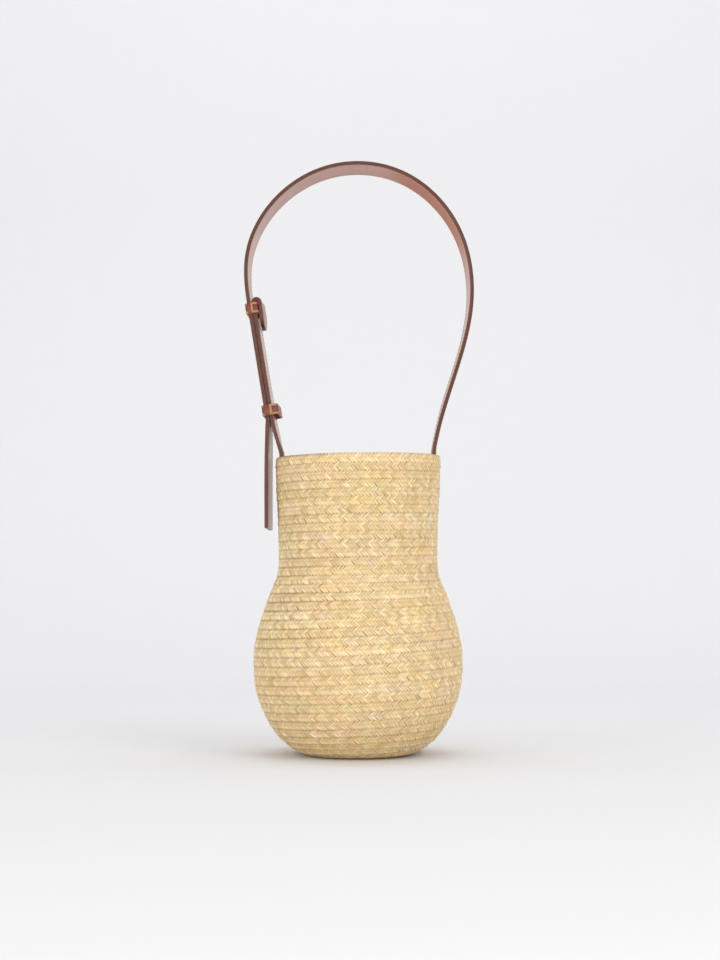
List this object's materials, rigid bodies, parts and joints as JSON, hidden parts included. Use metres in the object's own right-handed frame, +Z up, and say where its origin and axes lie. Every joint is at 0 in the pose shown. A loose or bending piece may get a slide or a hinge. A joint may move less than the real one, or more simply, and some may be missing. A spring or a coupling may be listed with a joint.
{
  "type": "bucket bag",
  "caption": "Open bucket bag of coiled straw plait with a round lower bulb and a straight neck, carried on a tall adjustable leather shoulder strap with keeper loops and a hanging tail.",
  "frame": {"origin": "centre of the flat base, on the ground", "axes": "+Z up through the middle of the mouth; X runs from the left strap leg (-X, with the keeper loops and tail) to the right one (+X); -Y is the front"},
  "size_m": [0.2139, 0.1928, 0.551],
  "materials": {
    "straw": "matte",
    "leather_face": "satin",
    "leather_lining": "satin",
    "thread": "satin"
  },
  "bodies": {
    "bag": {"straw_base": "straw", "straw_bulb_foot": "straw", "straw_bulb_lower": "straw", "straw_bulb_upper": "straw", "straw_shoulder": "straw", "straw_neck": "straw", "straw_collar": "straw", "left_tab_outer": "leather_face", "left_tab_lining": "leather_lining", "right_tab_outer": "leather_face", "right_tab_lining": "leather_lining", "left_anchor_stitches": "thread", "right_anchor_stitches": "thread"},
    "strap": {"long_strap_outer": "leather_face", "long_strap_lining": "leather_lining", "long_strap_thread": "thread", "short_strap_outer": "leather_face", "short_strap_lining": "leather_lining", "short_strap_thread": "thread", "upper_keeper": "leather_face", "upper_keeper_thread": "thread"},
    "lower_keeper": {"lower_keeper": "leather_face", "lower_keeper_thread": "thread"},
    "tail": {"tail_outer": "leather_face", "tail_lining": "leather_lining", "tail_thread": "thread"}
  },
  "joints": [
    {"name": "strap_swing", "type": "hinge", "parent": "bag", "child": "strap", "pos_m": [0, 0, 0.29], "axis": [1, 0, 0], "range_deg": [-76, 83]},
    {"name": "lower_keeper_slide", "type": "slide", "parent": "strap", "child": "lower_keeper", "axis": [-0.1637, 0.0602, 0.9847], "range_m": [0, 0.066]},
    {"name": "tail_swing", "type": "hinge", "parent": "strap", "child": "tail", "pos_m": [-0.08243, 0.00109, 0.30781], "axis": [0.0656, 0.9966, -0.05], "range_deg": [-1, 88]}
  ]
}
